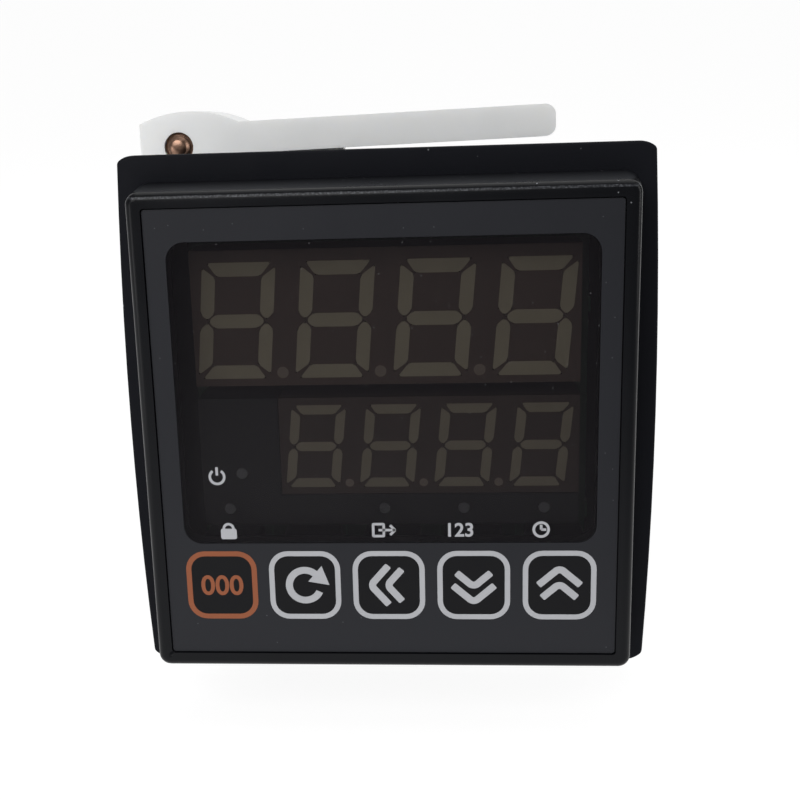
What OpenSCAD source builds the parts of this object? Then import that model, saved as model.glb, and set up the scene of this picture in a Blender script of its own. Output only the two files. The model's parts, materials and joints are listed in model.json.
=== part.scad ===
// Panel counter for a 45 mm square cut-out: front frame with film keys, LED displays, plug-in
// boards, screw terminals at the back, and a ratchet clamp frame with two jack screws.
// X points right, Y points from the front to the back, Z points up.
// The origin is the middle of the plane where the seal meets the panel.

/* [Front frame] */
// How far the front frame stands out beyond the case on every side
bezel_overhang = 1.6; // [1.3:0.1:3]
// Depth of the front frame, from its front edge to the seal
bezel_depth = 6; // [5.4:0.1:8]
// Corner radius of the front frame
bezel_corner_r = 1.2; // [0.9:0.1:2.5]
// Rounding of the front edge
bezel_edge_r = 0.8; // [0.3:0.1:0.8]
// How much the front frame widens from its front edge to its back, on every side
bezel_draft = 0.6; // [0:0.1:1.2]
// Width of the rim round the film
rim_w = 1.6; // [1:0.1:1.7]
// Depth of the recess that the film lies in
film_recess = 0.5; // [0.35:0.05:0.8]
// Thickness of the front plate behind the film
plate_t = 2; // [1.2:0.1:2.4]

/* [Film and window] */
// Thickness of the printed film
film_t = 0.3; // [0.2:0.05:0.35]
// Corner radius of the film
film_corner_r = 0.3; // [0.2:0.1:2]
// Width of the film left and right of the window
window_side = 2; // [1.8:0.1:3]
// Height of the film above the window
window_above = 3.1; // [2.5:0.1:5]
// Height of the film below the window, where the keys are
window_below = 11.7; // [10:0.1:13]
// Corner radius of the window
window_r = 1.8; // [0.5:0.1:4]
// Width of the lip that holds the smoked window behind the plate
filter_lip = 0.7; // [0.5:0.05:0.75]
// Thickness of that lip
filter_lip_t = 1.1; // [0.8:0.1:1.4]

/* [Keys] */
// Distance from the side of the film to the middle of the outer key
key_side = 5.52; // [5.4:0.02:6.5]
// Distance from the window's lower edge down to the middle of the keys
key_drop = 4.3; // [4.2:0.1:4.8]
// Width and height of a key's face
key_face = 5.4; // [4:0.1:5.4]
// Corner radius of a key
key_corner_r = 1.1; // [0.4:0.1:1.8]
// Width of the collar that keeps a key behind the plate
key_collar = 0.6; // [0.3:0.05:0.6]
// Thickness of that collar
key_collar_t = 0.6; // [0.4:0.1:1]
// Diameter of a key's stem
key_stem_d = 2.6; // [1.6:0.1:4]
// Travel of a key
key_travel = 0.3; // [0.2:0.05:0.5]
// Width and height of a switch body
switch_size = 6; // [5:0.1:7]
// Height of a switch body above its board
switch_h = 3.5; // [2.5:0.1:4]
// Diameter of a switch button
switch_button_d = 3.3; // [2.4:0.1:4]
// Length of a switch button outside its body
switch_button_out = 0.9; // [0.6:0.1:1.4]

/* [Displays] */
// Distance from the window's upper edge to the upper digits
count_top = 2.4; // [2.2:0.1:4]
// Distance from the window's side to the upper digits
count_side = 2.24; // [2.2:0.02:4]
// Space between two upper digits
count_space = 2.44; // [2:0.02:3]
// Width of a lit bar of the upper display
count_stroke = 1.35; // [0.9:0.05:1.6]
// Lean of the upper digits, in degrees
count_lean = 5; // [0:0.5:5]
// Diameter of a decimal point of the upper display
count_point_d = 1.15; // [0.8:0.05:1.4]
// Distance from the upper digits down to the lower digits
digit_gap = 2.8; // [2.2:0.1:4]
// Height of a digit of the lower display
preset_digit_h = 8.5; // [7.4:0.1:10]
// Width of a digit of the lower display
preset_digit_w = 5.45; // [4.8:0.05:5.8]
// Distance from the window's side to the lower digits
preset_side = 2.47; // [2.4:0.01:4]
// Space between two lower digits
preset_space = 2.02; // [1.6:0.02:2.4]
// Width of a lit bar of the lower display
preset_stroke = 0.95; // [0.7:0.05:1.2]
// Lean of the lower digits, in degrees
preset_lean = 6; // [0:0.5:8]
// Diameter of a decimal point of the lower display
preset_point_d = 0.85; // [0.6:0.05:1.2]
// Depth of the display bodies
display_depth = 6.2; // [5.6:0.1:8]
// Depth of the resin in a lit bar
segment_depth = 1.2; // [0.6:0.1:3]
// Height of the strip for the lamps, below the lower digits
lamp_strip = 4.8; // [4.4:0.1:6]
// Height of the row of lamps above the window's lower edge
lamp_up = 2.5; // [2.3:0.1:2.8]
// Diameter of an indicator lamp
lamp_d = 1.1; // [0.8:0.1:1.8]

/* [Seal] */
// Thickness of the seal
gasket_t = 1.5; // [1:0.1:3]
// Reach of the seal beyond the left and right sides of the case, at its widest
gasket_side = 4.25; // [2.6:0.05:6]
// Reach of the seal above the case
gasket_over = 4.8; // [3:0.1:6]
// Reach of the seal below the case
gasket_under = 3.4; // [2.6:0.1:6]
// Bulge of the seal's left and right edges
gasket_bulge = 0.7; // [0.3:0.1:1.5]
// Corner radius of the seal at the top
gasket_top_r = 2.2; // [1:0.1:4]
// Corner radius of the seal at the bottom
gasket_bottom_r = 2.5; // [1:0.1:5]

/* [Case] */
// Width and height of the case
case_size = 44.8; // [42:0.1:52]
// Wall of the case
case_wall = 1.7; // [1.5:0.1:1.9]
// Distance from the panel plane to the back end of the case
case_length = 57; // [54:0.5:75]
// Corner radius of the case
case_corner_r = 1; // [0.4:0.1:2]
// Depth of the ratchet rack in the top and bottom walls
rack_depth = 0.9; // [0.5:0.05:1]
// Length of one ratchet tooth
rack_pitch = 2; // [1.2:0.1:3]
// Width of the ratchet rack
rack_w = 7.6; // [7.4:0.1:9]
// Width of a vent slot
vent_w = 1.8; // [1:0.1:2.4]
// Length of a vent slot
vent_l = 14; // [8:0.5:15]
// Distance from vent slot to vent slot
vent_pitch = 4; // [3:0.25:5]

/* [Boards] */
// Thickness of every circuit board
board_t = 1.6; // [1:0.1:2]
// Height of the power board
power_board_z = -11; // [-12:0.1:-10.5]
// Width of the transformer core
core_w = 23.8; // [20:0.1:25]
// Height of the transformer core
core_h = 19; // [15:0.5:22]
// Thickness of the transformer core
core_t = 9; // [6:0.5:10]
// Width of the core's middle limb
core_limb = 5.7; // [4:0.1:7]
// Width of the core's outer limbs and yokes
core_yoke = 3.2; // [2.4:0.1:4]
// Gap between the transformer core and the main board above it
core_clear = 1.4; // [0.6:0.1:3]
// Diameter of a smoothing capacitor
capacitor_d = 8; // [5:0.5:9]
// Height of a smoothing capacitor
capacitor_h = 12; // [8:0.5:18]
// Width of the output relay
relay_w = 15.5; // [12:0.5:16]
// Depth of the output relay
relay_l = 12; // [10:0.5:14]
// Height of the output relay
relay_h = 11; // [8:0.5:16]

/* [Terminals] */
// Number of terminals in a column
terminal_rows = 6; // [4:1:6]
// Distance from terminal to terminal
terminal_pitch = 6.6; // [6.2:0.1:6.8]
// Distance of a terminal screw from the side of the case
terminal_in = 7.8; // [7.2:0.1:8.6]
// Diameter of a terminal screw's shank
terminal_screw_d = 3; // [2.5:0.1:3.4]
// Diameter of a terminal screw's head
terminal_head_d = 5; // [4.4:0.1:5.2]
// Thickness of a contact plate, and of a clamping washer
contact_t = 0.8; // [0.5:0.1:1]
// Depth of the terminal cells
terminal_depth = 5.3; // [4.6:0.1:8]

/* [Clamp] */
// Distance from the panel plane to the clamp frame
clamp_y = 10; // [6.5:0.1:20]
// Bar of the clamp frame round the case
clamp_bar = 3.6; // [2.6:0.1:3.9]
// Depth of the clamp frame round the case
clamp_ring_depth = 5; // [3:0.1:6]
// Depth of the boss and of the lever arm
clamp_depth = 8; // [7:0.1:12]
// Running gap between the clamp frame and the case
clamp_gap = 0.3; // [0.15:0.05:0.6]
// Width of the boss that carries a jack screw
boss_w = 10.6; // [9:0.1:12]
// Height of the boss's shoulders above the clamp frame
boss_h = 3.75; // [3.3:0.05:5]
// Height of the boss's crown above the shoulders
boss_crown = 1.2; // [0.6:0.1:2.5]
// Thickness of a lever arm
arm_t = 3.25; // [2.4:0.05:4]
// Length of a lever arm beyond its boss
arm_length = 33.1; // [26:0.1:36]
// Lift of a lever arm towards its free end, in degrees
arm_lift = 1.47; // [0:0.01:3]
// Diameter of a jack screw
jack_d = 3; // [2.5:0.1:4]
// Length of a jack screw below its head
jack_length = 24; // [16:0.5:30]
// Diameter of a jack screw's head
jack_head_d = 5.5; // [4.5:0.1:6]
// Distance from the boss's outer side to the middle of the jack screw
jack_in = 4.1; // [3:0.1:6]
// Height of the jack screw above the clamp frame
jack_up = 1.3; // [0.5:0.1:2]
// Length of the jack screw that stands out of the boss at rest
jack_out = 0.5; // [0.2:0.1:2]

/* [Hidden] */
$fn = 64;
fine_fn = 180;

// Fits: loose fit, small gap, gap round a shaft, overlap that joins shapes of one piece, excess of a cut
slip = 0.1;
touch = 0.05;
running = 0.05;
join = 0.02;
cut = 1;

// Planes from the front to the back
case_step = 0.4;
terminal_floor_t = 2.2;
plug_depth = 3;
plug_rim = 3.4;
bezel_back = -gasket_t;
front_y = bezel_back - bezel_depth;
recess_y = front_y + film_recess;
film_y = recess_y - film_t;
plate_back = recess_y + plate_t;
filter_back = plate_back + filter_lip_t;
display_y = filter_back + slip;
board_y = display_y + display_depth;
board_back = board_y + board_t;
case_front = filter_back + case_step;
plug_front = case_length - plug_depth;
tail_board_back = plug_front - plug_rim;
tail_board_y = tail_board_back - board_t;
terminal_floor = case_length + terminal_floor_t;
terminal_back = terminal_floor + terminal_depth;

// Front frame, film and window
bezel_size = case_size + 2 * bezel_overhang;
film_size = bezel_size - 2 * rim_w;
window_w = film_size - 2 * window_side;
window_h = film_size - window_above - window_below;
window_top = film_size / 2 - window_above;
window_bottom = window_below - film_size / 2;

// Seal
gasket_w = case_size + 2 * gasket_side;
gasket_h = case_size + gasket_over + gasket_under;

// Case
case_inside = case_size - 2 * case_wall;
cavity = case_size + 2 * slip;
snap_w = 10;
snap_t = 1;
snap_out = 0.4;
snap_root = 0.5;
snap_step = 0.3;
snap_y = case_front + snap_step;
post = 3;
guide_w = 1.4;
guide_t = 1;
guide_inset = 2;
rack_x = 8.6;
rack_y = 13;
rack_end = 3;
rack_land = 0.1;
rack_root = 0.2;
rack_teeth = floor((case_length - rack_end - rack_y) / rack_pitch);
vent_x = 10;
vent_y = 24;
vent_count = 5;

// Latch tongues of the terminal block, and their windows in the case
latch_w = 8;
latch_l = 2;
latch_flat = 0.6;
latch_root = 0.5;
latch_sink = 0.2;
latch_back = 4;
latch_out = case_wall - latch_sink;
latch_y = case_length - latch_back;
tray_w = case_inside - 2 * slip;

// Keys, from left to right
key_names = ["reset", "mode", "shift", "down", "up"];
key_pitch = (film_size - 2 * key_side) / (len(key_names) - 1);
key_z = window_bottom - key_drop;
switch_y = board_y - switch_h;
switch_tip = switch_y - switch_button_out;
switch_corner_r = 0.4;
button_inside = 0.6;

// Digits of both displays
digit_count = 4;
segment_gap = 0.12;
segment_taper = 0.25;
preset_bottom = window_bottom + lamp_strip;
preset_top = preset_bottom + preset_digit_h;
preset_pitch = preset_digit_w + preset_space;
preset_left = window_w / 2 - preset_side - digit_count * preset_pitch + preset_space;
count_bottom = preset_top + digit_gap;
count_digit_h = window_top - count_top - count_bottom;
count_left = count_side - window_w / 2;
count_pitch = (window_w - 2 * count_side + count_space) / digit_count;
count_digit_w = count_pitch - count_space;

// Bodies of the displays
display_side = 1.45;
display_w = window_w - 2 * display_side;
count_above = 1.2;
count_below = 0.75;
preset_above = 0.75;
preset_below = 0.7;
preset_beside = 0.45;
preset_body_left = preset_left - tan(preset_lean) * preset_digit_h / 2 - preset_beside;

// Lamps: one beside the lower display, one at the left and three at the right of the row below it
lamp_margin = 1.7;
lamp_pitch = 8;
lamp_left = 2.65;
lamp_right = 3.4;
side_lamp_up = 1.45;
lamp_z = window_bottom + lamp_up;
lamp_places = [
    [(preset_body_left - display_w / 2) / 2, preset_bottom + side_lamp_up],
    [lamp_left - display_w / 2, lamp_z],
    for (i = [2:-1:0]) [display_w / 2 - lamp_right - i * lamp_pitch, lamp_z]
];

// Boards and pin headers
board_gap = 0.5;
board_size = case_inside - 2 * board_gap;
tail_room = 0.4;
header_pins = 6;
header_pitch = 2.54;
header_h = 2.5;
header_l = 4;
header_corner_r = 0.3;
power_top = power_board_z + board_t / 2;
main_board_z = power_top + core_h + core_clear + board_t / 2;
main_top = main_board_z + board_t / 2;

// Parts on the main board, from its left or right edge and from its front end
lead_w = 0.5;
lead_h = 0.5;
lead_out = 0.8;
lead_pitch = 1.27;
lead_count = 7;
chip_lift = 0.15;
chip_l = 10;
processor_w = 10;
processor_h = 1.6;
processor_in = 15.7;
processor_y = 18;
driver_w = 6;
driver_h = 1.8;
driver_in = 9.7;
driver_places = [12, 26];
crystal_size = [4.6, 11, 3.5];
crystal_r = 2.2;
crystal_in = 7.7;
crystal_y = 32;

// Parts on the power board, clear of the guides at its edges
part_gap = 1.8;
coil_gap = 0.1;
coil_reach = 4.5;
coil_corner_r = 3;
core_y = 16;
core_x = part_gap + core_w / 2 - case_inside / 2;
coil_w = core_w - 2 * core_yoke - 2 * coil_gap;
coil_h = core_h - 2 * core_yoke - 2 * coil_gap;
core_window = (core_w - 2 * core_yoke - core_limb) / 2;
capacitor_x = case_inside / 2 - part_gap - capacitor_d / 2;
capacitor_places = [9, 19];
capacitor_edge = 0.6;
relay_x = case_inside / 2 - part_gap - relay_w / 2;
relay_back = 5;
relay_corner_r = 0.8;
surge_in = 10.7;
surge_back = 8;
surge_d = 8;
surge_t = 3.5;
surge_lift = 1;
surge_lead_d = 0.8;
surge_lead_h = 3;
surge_lead_pitch = 5;

// Terminals
spine_side = 14.9;
spine_w = case_size - 2 * spine_side;
spine_step = 1;
barrier_t = 1.2;
barrier_corner_r = 2;
barrier_root = 0.5;
terminal_x = case_size / 2 - terminal_in;
contact_l = 9;
contact_h = terminal_pitch - barrier_t - 2 * slip;
tail_w = 3;
tail_side = 0.9;
tail_x = spine_w / 2 + tail_side;
tail_out = 2;
terminal_screw_l = 4;
terminal_head_h = 1.9;

// Screw heads
head_edge_r = 0.5;
slot_w = 0.85;
slot_rim = 0.95;
slot_depth = 1.05;

// Clamp frame
clamp_inside = case_size / 2 + clamp_gap;
clamp_outside = clamp_inside + clamp_bar;
clamp_corner_r = 1;
boss_x = -clamp_outside;
boss_shoulder = clamp_outside + boss_h;
boss_crown_r = (pow(boss_w / 2, 2) + pow(boss_crown, 2)) / (2 * boss_crown);
arm_x = boss_x + boss_w;
arm_z = boss_shoulder - arm_t;
arm_root = 1.5;
arm_end_r = 1.1;
pawl_w = 6.8;
pawl_gap = 0.5;
pawl_tip = 0.8;
pawl_heel = 2.4;
pawl_sink = 1;
jack_x = boss_x + jack_in;
jack_z = clamp_outside + jack_up;
jack_head_h = 2;
jack_tip = 0.5;

// Extrudes a front view (X, Z) from y0 back to y1
module along_y(y0, y1) translate([0, y1, 0]) rotate([90, 0, 0]) linear_extrude(y1 - y0) children();

// Extrudes a side view (Y, Z) from x0 to x1
module along_x(x0, x1) translate([x0, 0, 0]) rotate([90, 0, 90]) linear_extrude(x1 - x0) children();

// Extrudes a top view (X, Y) from z0 up to z1
module along_z(z0, z1) translate([0, 0, z0]) linear_extrude(z1 - z0) children();

module rounded_rect(w, h, r) {
    square([w - 2 * r, h], center = true);
    square([w, h - 2 * r], center = true);
    for (x = [-1, 1], z = [-1, 1])
        translate([x * (w / 2 - r), z * (h / 2 - r)]) circle(r);
}

// A rod along Y at a place in the front view
module rod(x, z, y0, y1, d) along_y(y0, y1) translate([x, z]) circle(d = d);

// The same shape twice, the second half a turn round the Y axis
module half_turn_pair() {
    children();
    rotate([0, 180, 0]) children();
}

// Front frame: a square tray with rounded front edges and tapered sides, open for the window and the keys
module frame_profile(half) {
    edge_y = front_y + bezel_edge_r;
    polygon([[-half, edge_y], [half, edge_y],
        [half + bezel_draft, bezel_back], [-half - bezel_draft, bezel_back]]);
    translate([bezel_edge_r - half, front_y]) square([2 * (half - bezel_edge_r), bezel_depth]);
    for (x = [-1, 1]) translate([x * (half - bezel_edge_r), edge_y]) circle(bezel_edge_r);
}

module frame_corner() rotate([-90, 0, 0]) rotate_extrude() intersection() {
    frame_profile(bezel_corner_r);
    translate([0, front_y]) square([bezel_corner_r + bezel_draft, bezel_depth]);
}

module frame_body() {
    corner_at = bezel_size / 2 - bezel_corner_r;
    for (a = [0, 90]) rotate([0, a, 0]) along_z(-corner_at, corner_at) frame_profile(bezel_size / 2);
    for (x = [-1, 1], z = [-1, 1]) translate([x * corner_at, 0, z * corner_at]) frame_corner();
}

module window_shape(gap) translate([0, (window_top + window_bottom) / 2])
    rounded_rect(window_w + 2 * gap, window_h + 2 * gap, window_r + gap);

function key_x(i) = (i - (len(key_names) - 1) / 2) * key_pitch;

module key_shape(i, gap) translate([key_x(i), key_z])
    rounded_rect(key_face + 2 * gap, key_face + 2 * gap, key_corner_r);

module front_bezel() color("#1b1c1e") difference() {
    frame_body();
    along_y(front_y - cut, recess_y) rounded_rect(film_size + 2 * slip, film_size + 2 * slip, film_corner_r);
    along_y(recess_y - cut, plate_back + cut) window_shape(slip);
    for (i = [0:len(key_names) - 1])
        along_y(recess_y - cut, plate_back + cut) key_shape(i, slip);
    along_y(plate_back, bezel_back + cut) square(cavity, center = true);
    for (a = [0:90:270]) rotate([0, a, 0]) snap_ridge(slip);
}

module overlay_film() color("#323436") along_y(film_y, recess_y) difference() {
    rounded_rect(film_size, film_size, film_corner_r);
    window_shape(0);
}

module display_filter() color("#26221f") {
    along_y(film_y + touch, plate_back) window_shape(-touch);
    along_y(plate_back, filter_back) window_shape(filter_lip);
}

// Rubber seal, bulging at its free edges, with a hole for the case
module gasket_outline() {
    bow_r = (pow(gasket_h / 2, 2) + pow(gasket_bulge, 2)) / (2 * gasket_bulge);
    translate([0, (gasket_over - gasket_under) / 2]) intersection() {
        translate([gasket_w / 2 - bow_r, 0]) circle(bow_r, $fn = fine_fn);
        translate([bow_r - gasket_w / 2, 0]) circle(bow_r, $fn = fine_fn);
        rounded_rect(gasket_w, gasket_h, gasket_top_r);
        translate([0, gasket_h / 2]) rounded_rect(gasket_w, 2 * gasket_h, gasket_bottom_r);
    }
}

module panel_gasket() color("#202122") along_y(bezel_back, 0) difference() {
    gasket_outline();
    square(cavity, center = true);
}

// Case: a square tube with board guides, corner posts, ratchet racks and vents
module snap_ridge(gap) along_y(snap_y - gap, snap_y + snap_t + gap)
    translate([-snap_w / 2 - gap, case_size / 2 - snap_root])
        square([snap_w + 2 * gap, snap_root + snap_out + gap]);

module guide_pair(z) for (x = [-1, 1], side = [-1, 1])
    along_y(board_back + guide_inset, tail_board_y - guide_inset)
        translate([x * (case_inside / 2 - guide_w / 2), z + side * (board_t / 2 + slip + guide_t / 2)])
            square([guide_w + join, guide_t], center = true);

module rack_cut() along_x(-rack_x - rack_w / 2, -rack_x + rack_w / 2) for (i = [0:rack_teeth - 1])
    translate([rack_y + i * rack_pitch, case_size / 2])
        polygon([[0, cut], [0, 0], [rack_pitch - rack_land - rack_root, -rack_depth],
            [rack_pitch - rack_land, -rack_depth], [rack_pitch - rack_land, cut]]);

module vent_cut() for (i = [0:vent_count - 1])
    along_z(case_inside / 2 - cut, case_size / 2 + cut)
        translate([vent_x, vent_y + i * vent_pitch]) rounded_rect(vent_l, vent_w, (vent_w - join) / 2);

module latch_window() along_x(case_inside / 2 - cut, case_size / 2 + cut)
    translate([latch_y, 0]) square([latch_l + 2 * slip, latch_w + 2 * slip], center = true);

module case() color("#232426") difference() {
    union() {
        difference() {
            along_y(case_front, case_length) rounded_rect(case_size, case_size, case_corner_r);
            along_y(case_front - cut, case_length + cut) square(case_inside, center = true);
        }
        for (x = [-1, 1], z = [-1, 1])
            along_y(board_back, tail_board_y) translate([x, z] * (case_inside - post) / 2)
                square(post + join, center = true);
        guide_pair(main_board_z);
        guide_pair(power_board_z);
        for (a = [0:90:270]) rotate([0, a, 0]) snap_ridge(0);
    }
    half_turn_pair() {
        rack_cut();
        vent_cut();
        latch_window();
    }
}

// Terminal block: plug, cell floor, spine and barriers between the terminals
function row_z(i) = (i - (terminal_rows - 1) / 2) * terminal_pitch;

module latch_tongue() along_z(-latch_w / 2, latch_w / 2)
    translate([case_inside / 2 - slip, latch_y])
        polygon([[-latch_root, -latch_l / 2], [0, -latch_l / 2], [latch_out, latch_l / 2 - latch_flat],
            [latch_out, latch_l / 2], [-latch_root, latch_l / 2]]);

module barrier_profile() {
    reach = spine_side + barrier_root;
    depth = terminal_depth + barrier_root;
    translate([spine_w / 2 - barrier_root, terminal_floor - barrier_root]) {
        square([reach - barrier_corner_r, depth]);
        square([reach, depth - barrier_corner_r]);
        translate([reach - barrier_corner_r, depth - barrier_corner_r]) circle(barrier_corner_r);
    }
}

// Slots for the tails of the contacts, from y0 to y1
module tail_slots(y0, y1) half_turn_pair() for (i = [0:terminal_rows - 1])
    along_y(y0, y1) translate([tail_x, row_z(i)])
        square([contact_t + 2 * slip, tail_w + 2 * slip], center = true);

module terminal_block() color("#1f2022") difference() {
    union() {
        along_y(case_length, terminal_floor) rounded_rect(case_size, case_size, case_corner_r);
        along_y(plug_front, case_length) square(tray_w, center = true);
        along_y(tail_board_back, plug_front) difference() {
            square(tray_w, center = true);
            square(tray_w - 2 * post, center = true);
        }
        along_y(terminal_floor, terminal_back - spine_step)
            square([spine_w, terminal_rows * terminal_pitch + barrier_t], center = true);
        half_turn_pair() {
            for (i = [0:terminal_rows]) {
                z = row_z(i) - terminal_pitch / 2;
                along_z(z - barrier_t / 2, z + barrier_t / 2) barrier_profile();
            }
            latch_tongue();
        }
    }
    half_turn_pair() for (i = [0:terminal_rows - 1])
        rod(terminal_x, row_z(i), terminal_floor - terminal_screw_l, terminal_back,
            terminal_screw_d + 2 * slip);
    tail_slots(tail_board_back - cut, terminal_floor + cut);
}

module terminal_contacts() color("#c9b37a") half_turn_pair() for (i = [0:terminal_rows - 1]) {
    difference() {
        along_y(terminal_floor, terminal_floor + contact_t)
            translate([tail_x - contact_t / 2, row_z(i) - contact_h / 2]) square([contact_l, contact_h]);
        rod(terminal_x, row_z(i), terminal_floor - cut, terminal_back, terminal_screw_d + 2 * running);
    }
    along_y(tail_board_y - tail_out, terminal_floor + contact_t / 2)
        translate([tail_x, row_z(i)]) square([contact_t, tail_w], center = true);
}

module terminal_washers() color("#cfd2d4") half_turn_pair() for (i = [0:terminal_rows - 1])
    along_y(terminal_floor + contact_t, terminal_floor + 2 * contact_t)
        translate([terminal_x, row_z(i)]) difference() {
            square(contact_h, center = true);
            circle(d = terminal_screw_d + 2 * running);
        }

// Pan head with a cross slot, its seat at y and its face towards the back
module screw_head(y, d, h) difference() {
    translate([0, y, 0]) rotate([-90, 0, 0]) rotate_extrude() intersection() {
        square([d / 2, h]);
        translate([0, h - d]) circle(d);
        union() {
            square([d / 2, h - head_edge_r]);
            square([d / 2 - head_edge_r, h]);
            translate([d / 2 - head_edge_r, h - head_edge_r]) circle(head_edge_r);
        }
    }
    for (a = [0, 90]) rotate([0, a, 0])
        translate([slot_rim - d / 2, y + h - slot_depth, -slot_w / 2]) cube([d - 2 * slot_rim, h, slot_w]);
}

module terminal_screws() color("#d2d3d0") half_turn_pair() for (i = [0:terminal_rows - 1])
    translate([terminal_x, 0, row_z(i)]) {
        screw_head(terminal_floor + 2 * contact_t, terminal_head_d, terminal_head_h);
        rod(0, 0, terminal_floor - terminal_screw_l + touch, terminal_floor + 2 * contact_t + touch,
            terminal_screw_d);
    }

// Clamp frame: ring, two bosses, two lever arms with a pawl under each
module boss_shape() intersection() {
    translate([boss_x + boss_w / 2, boss_shoulder + boss_crown - boss_crown_r])
        circle(boss_crown_r, $fn = fine_fn);
    translate([boss_x, clamp_inside]) square([boss_w, boss_shoulder + boss_crown - clamp_inside]);
}

module arm_shape() translate([arm_x, arm_z]) rotate(arm_lift) {
    translate([-arm_root, 0]) square([arm_length + arm_root - arm_end_r, arm_t]);
    translate([0, arm_end_r]) square([arm_length, arm_t - 2 * arm_end_r]);
    for (z = [arm_end_r, arm_t - arm_end_r]) translate([arm_length - arm_end_r, z]) circle(arm_end_r);
}

module pawl() {
    y0 = clamp_y + clamp_ring_depth + pawl_gap;
    y1 = clamp_y + clamp_depth;
    root_z = arm_z + pawl_sink;
    tip_z = case_size / 2 + slip;
    along_x(-rack_x - pawl_w / 2, -rack_x + pawl_w / 2)
        polygon([[y0, root_z], [y1, root_z], [y1, tip_z + pawl_heel], [y0 + pawl_tip, tip_z], [y0, tip_z]]);
}

module clamp_frame() color("#e6e6e2") difference() {
    union() {
        along_y(clamp_y, clamp_y + clamp_ring_depth) difference() {
            rounded_rect(2 * clamp_outside, 2 * clamp_outside, clamp_corner_r);
            square(2 * clamp_inside, center = true);
        }
        half_turn_pair() {
            along_y(clamp_y, clamp_y + clamp_depth) {
                boss_shape();
                arm_shape();
            }
            pawl();
        }
    }
    half_turn_pair() rod(jack_x, jack_z, clamp_y - cut, clamp_y + clamp_depth + cut, jack_d + 2 * running);
}

module jack_screw() color("#b08d57") translate([jack_x, 0, jack_z]) {
    y0 = clamp_y - jack_out;
    rod(0, 0, y0 + jack_tip, y0 + jack_length + touch, jack_d);
    translate([0, y0, 0]) rotate([-90, 0, 0]) cylinder(h = jack_tip, d1 = jack_d - 2 * jack_tip, d2 = jack_d);
    screw_head(y0 + jack_length, jack_head_d, jack_head_h);
}

// Seven bars, drawn from the digit's lower left corner and leaned to the right
function lean(points, angle) = [for (p = points) [p[0] + p[1] * tan(angle), p[1]]];
function mirrored(points, w) = [for (p = points) [w - p[0], p[1]]];
function upended(points, h) = [for (p = points) [p[0], h - p[1]]];
function flat_bar(w, h, t, g) = [[g + t * segment_taper, h], [w - g - t * segment_taper, h],
    [w - t - g, h - t], [t + g, h - t]];
function side_bar(w, h, t, g) = [[0, h - g - t * segment_taper], [t, h - t - g], [t, (h + t) / 2 + g],
    [t / 2, h / 2 + g], [0, (h + t) / 2 + g]];
function middle_bar(w, h, t, g) = [[t / 2 + g, h / 2], [t + g, (h + t) / 2], [w - t - g, (h + t) / 2],
    [w - t / 2 - g, h / 2], [w - t - g, (h - t) / 2], [t + g, (h - t) / 2]];

module digit(w, h, t, angle) {
    top = flat_bar(w, h, t, segment_gap);
    left = side_bar(w, h, t, segment_gap);
    bars = [top, upended(top, h), left, mirrored(left, w), upended(left, h), mirrored(upended(left, h), w),
        middle_bar(w, h, t, segment_gap)];
    for (b = bars) polygon(lean(b, angle));
}

// A row of digits from its lower left corner, with a decimal point between each two
module digit_row(x, z, w, h, t, space, angle, point_d) for (i = [0:digit_count - 1])
    translate([x + i * (w + space) - tan(angle) * h / 2, z]) {
        digit(w, h, t, angle);
        if (i < digit_count - 1) translate([w + space / 2, point_d / 2]) circle(d = point_d);
    }

module count_digits()
    digit_row(count_left, count_bottom, count_digit_w, count_digit_h, count_stroke, count_space, count_lean,
        count_point_d);

module preset_digits()
    digit_row(preset_left, preset_bottom, preset_digit_w, preset_digit_h, preset_stroke, preset_space,
        preset_lean, preset_point_d);

// A display's body between two corners of the front view, with its bars cut in
module display_body(x0, z0, x1, z1) difference() {
    along_y(display_y, board_y) translate([x0, z0]) square([x1 - x0, z1 - z0]);
    along_y(display_y - cut, display_y + segment_depth) children();
}

module count_display() color("#2a2422")
    display_body(-display_w / 2, count_bottom - count_below, display_w / 2,
            window_top - count_top + count_above)
        count_digits();

module preset_display() color("#2a2422")
    display_body(preset_body_left, preset_bottom - preset_below, display_w / 2, preset_top + preset_above)
        preset_digits();

module count_segments() color("#8c8478") along_y(display_y, display_y + segment_depth) count_digits();

module preset_segments() color("#8c8478") along_y(display_y, display_y + segment_depth) preset_digits();

// Holder beside and below the lower display, with a light pipe for each lamp
module lamp_holder() color("#151516") {
    bottom = lamp_z - lamp_margin;
    difference() {
        along_y(display_y, board_y) translate([-display_w / 2, bottom]) {
            square([display_w, preset_bottom - preset_below - slip - bottom]);
            square([preset_body_left - slip + display_w / 2, preset_top + preset_above - bottom]);
        }
        for (p = lamp_places) rod(p[0], p[1], display_y - cut, board_y + cut, lamp_d + 2 * running);
    }
}

module indicator_lamps() color("#8d8f92") for (p = lamp_places) rod(p[0], p[1], display_y, board_y, lamp_d);

// Keys and the small switches that they press
module key(i) color("#3a3c3f") {
    along_y(recess_y + touch, plate_back + touch) key_shape(i, 0);
    along_y(plate_back + touch, plate_back + touch + key_collar_t) key_shape(i, key_collar);
    rod(key_x(i), key_z, plate_back + key_collar_t, switch_tip - touch, key_stem_d);
}

module switch_button(i) color("#4a3a30")
    rod(key_x(i), key_z, switch_tip, switch_y + button_inside, switch_button_d);

module switch_bodies() color("#2b2d30") for (i = [0:len(key_names) - 1]) difference() {
    along_y(switch_y, board_y) translate([key_x(i), key_z])
        rounded_rect(switch_size, switch_size, switch_corner_r);
    rod(key_x(i), key_z, switch_y - cut, switch_y + button_inside + key_travel + slip,
        switch_button_d + 2 * running);
}

// Circuit boards: two upright ones, and two flat ones that stop short of the contact tails
module upright_board(y) along_y(y, y + board_t) square(board_size, center = true);

module display_board() color("#2f5d3a") upright_board(board_y);

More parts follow.
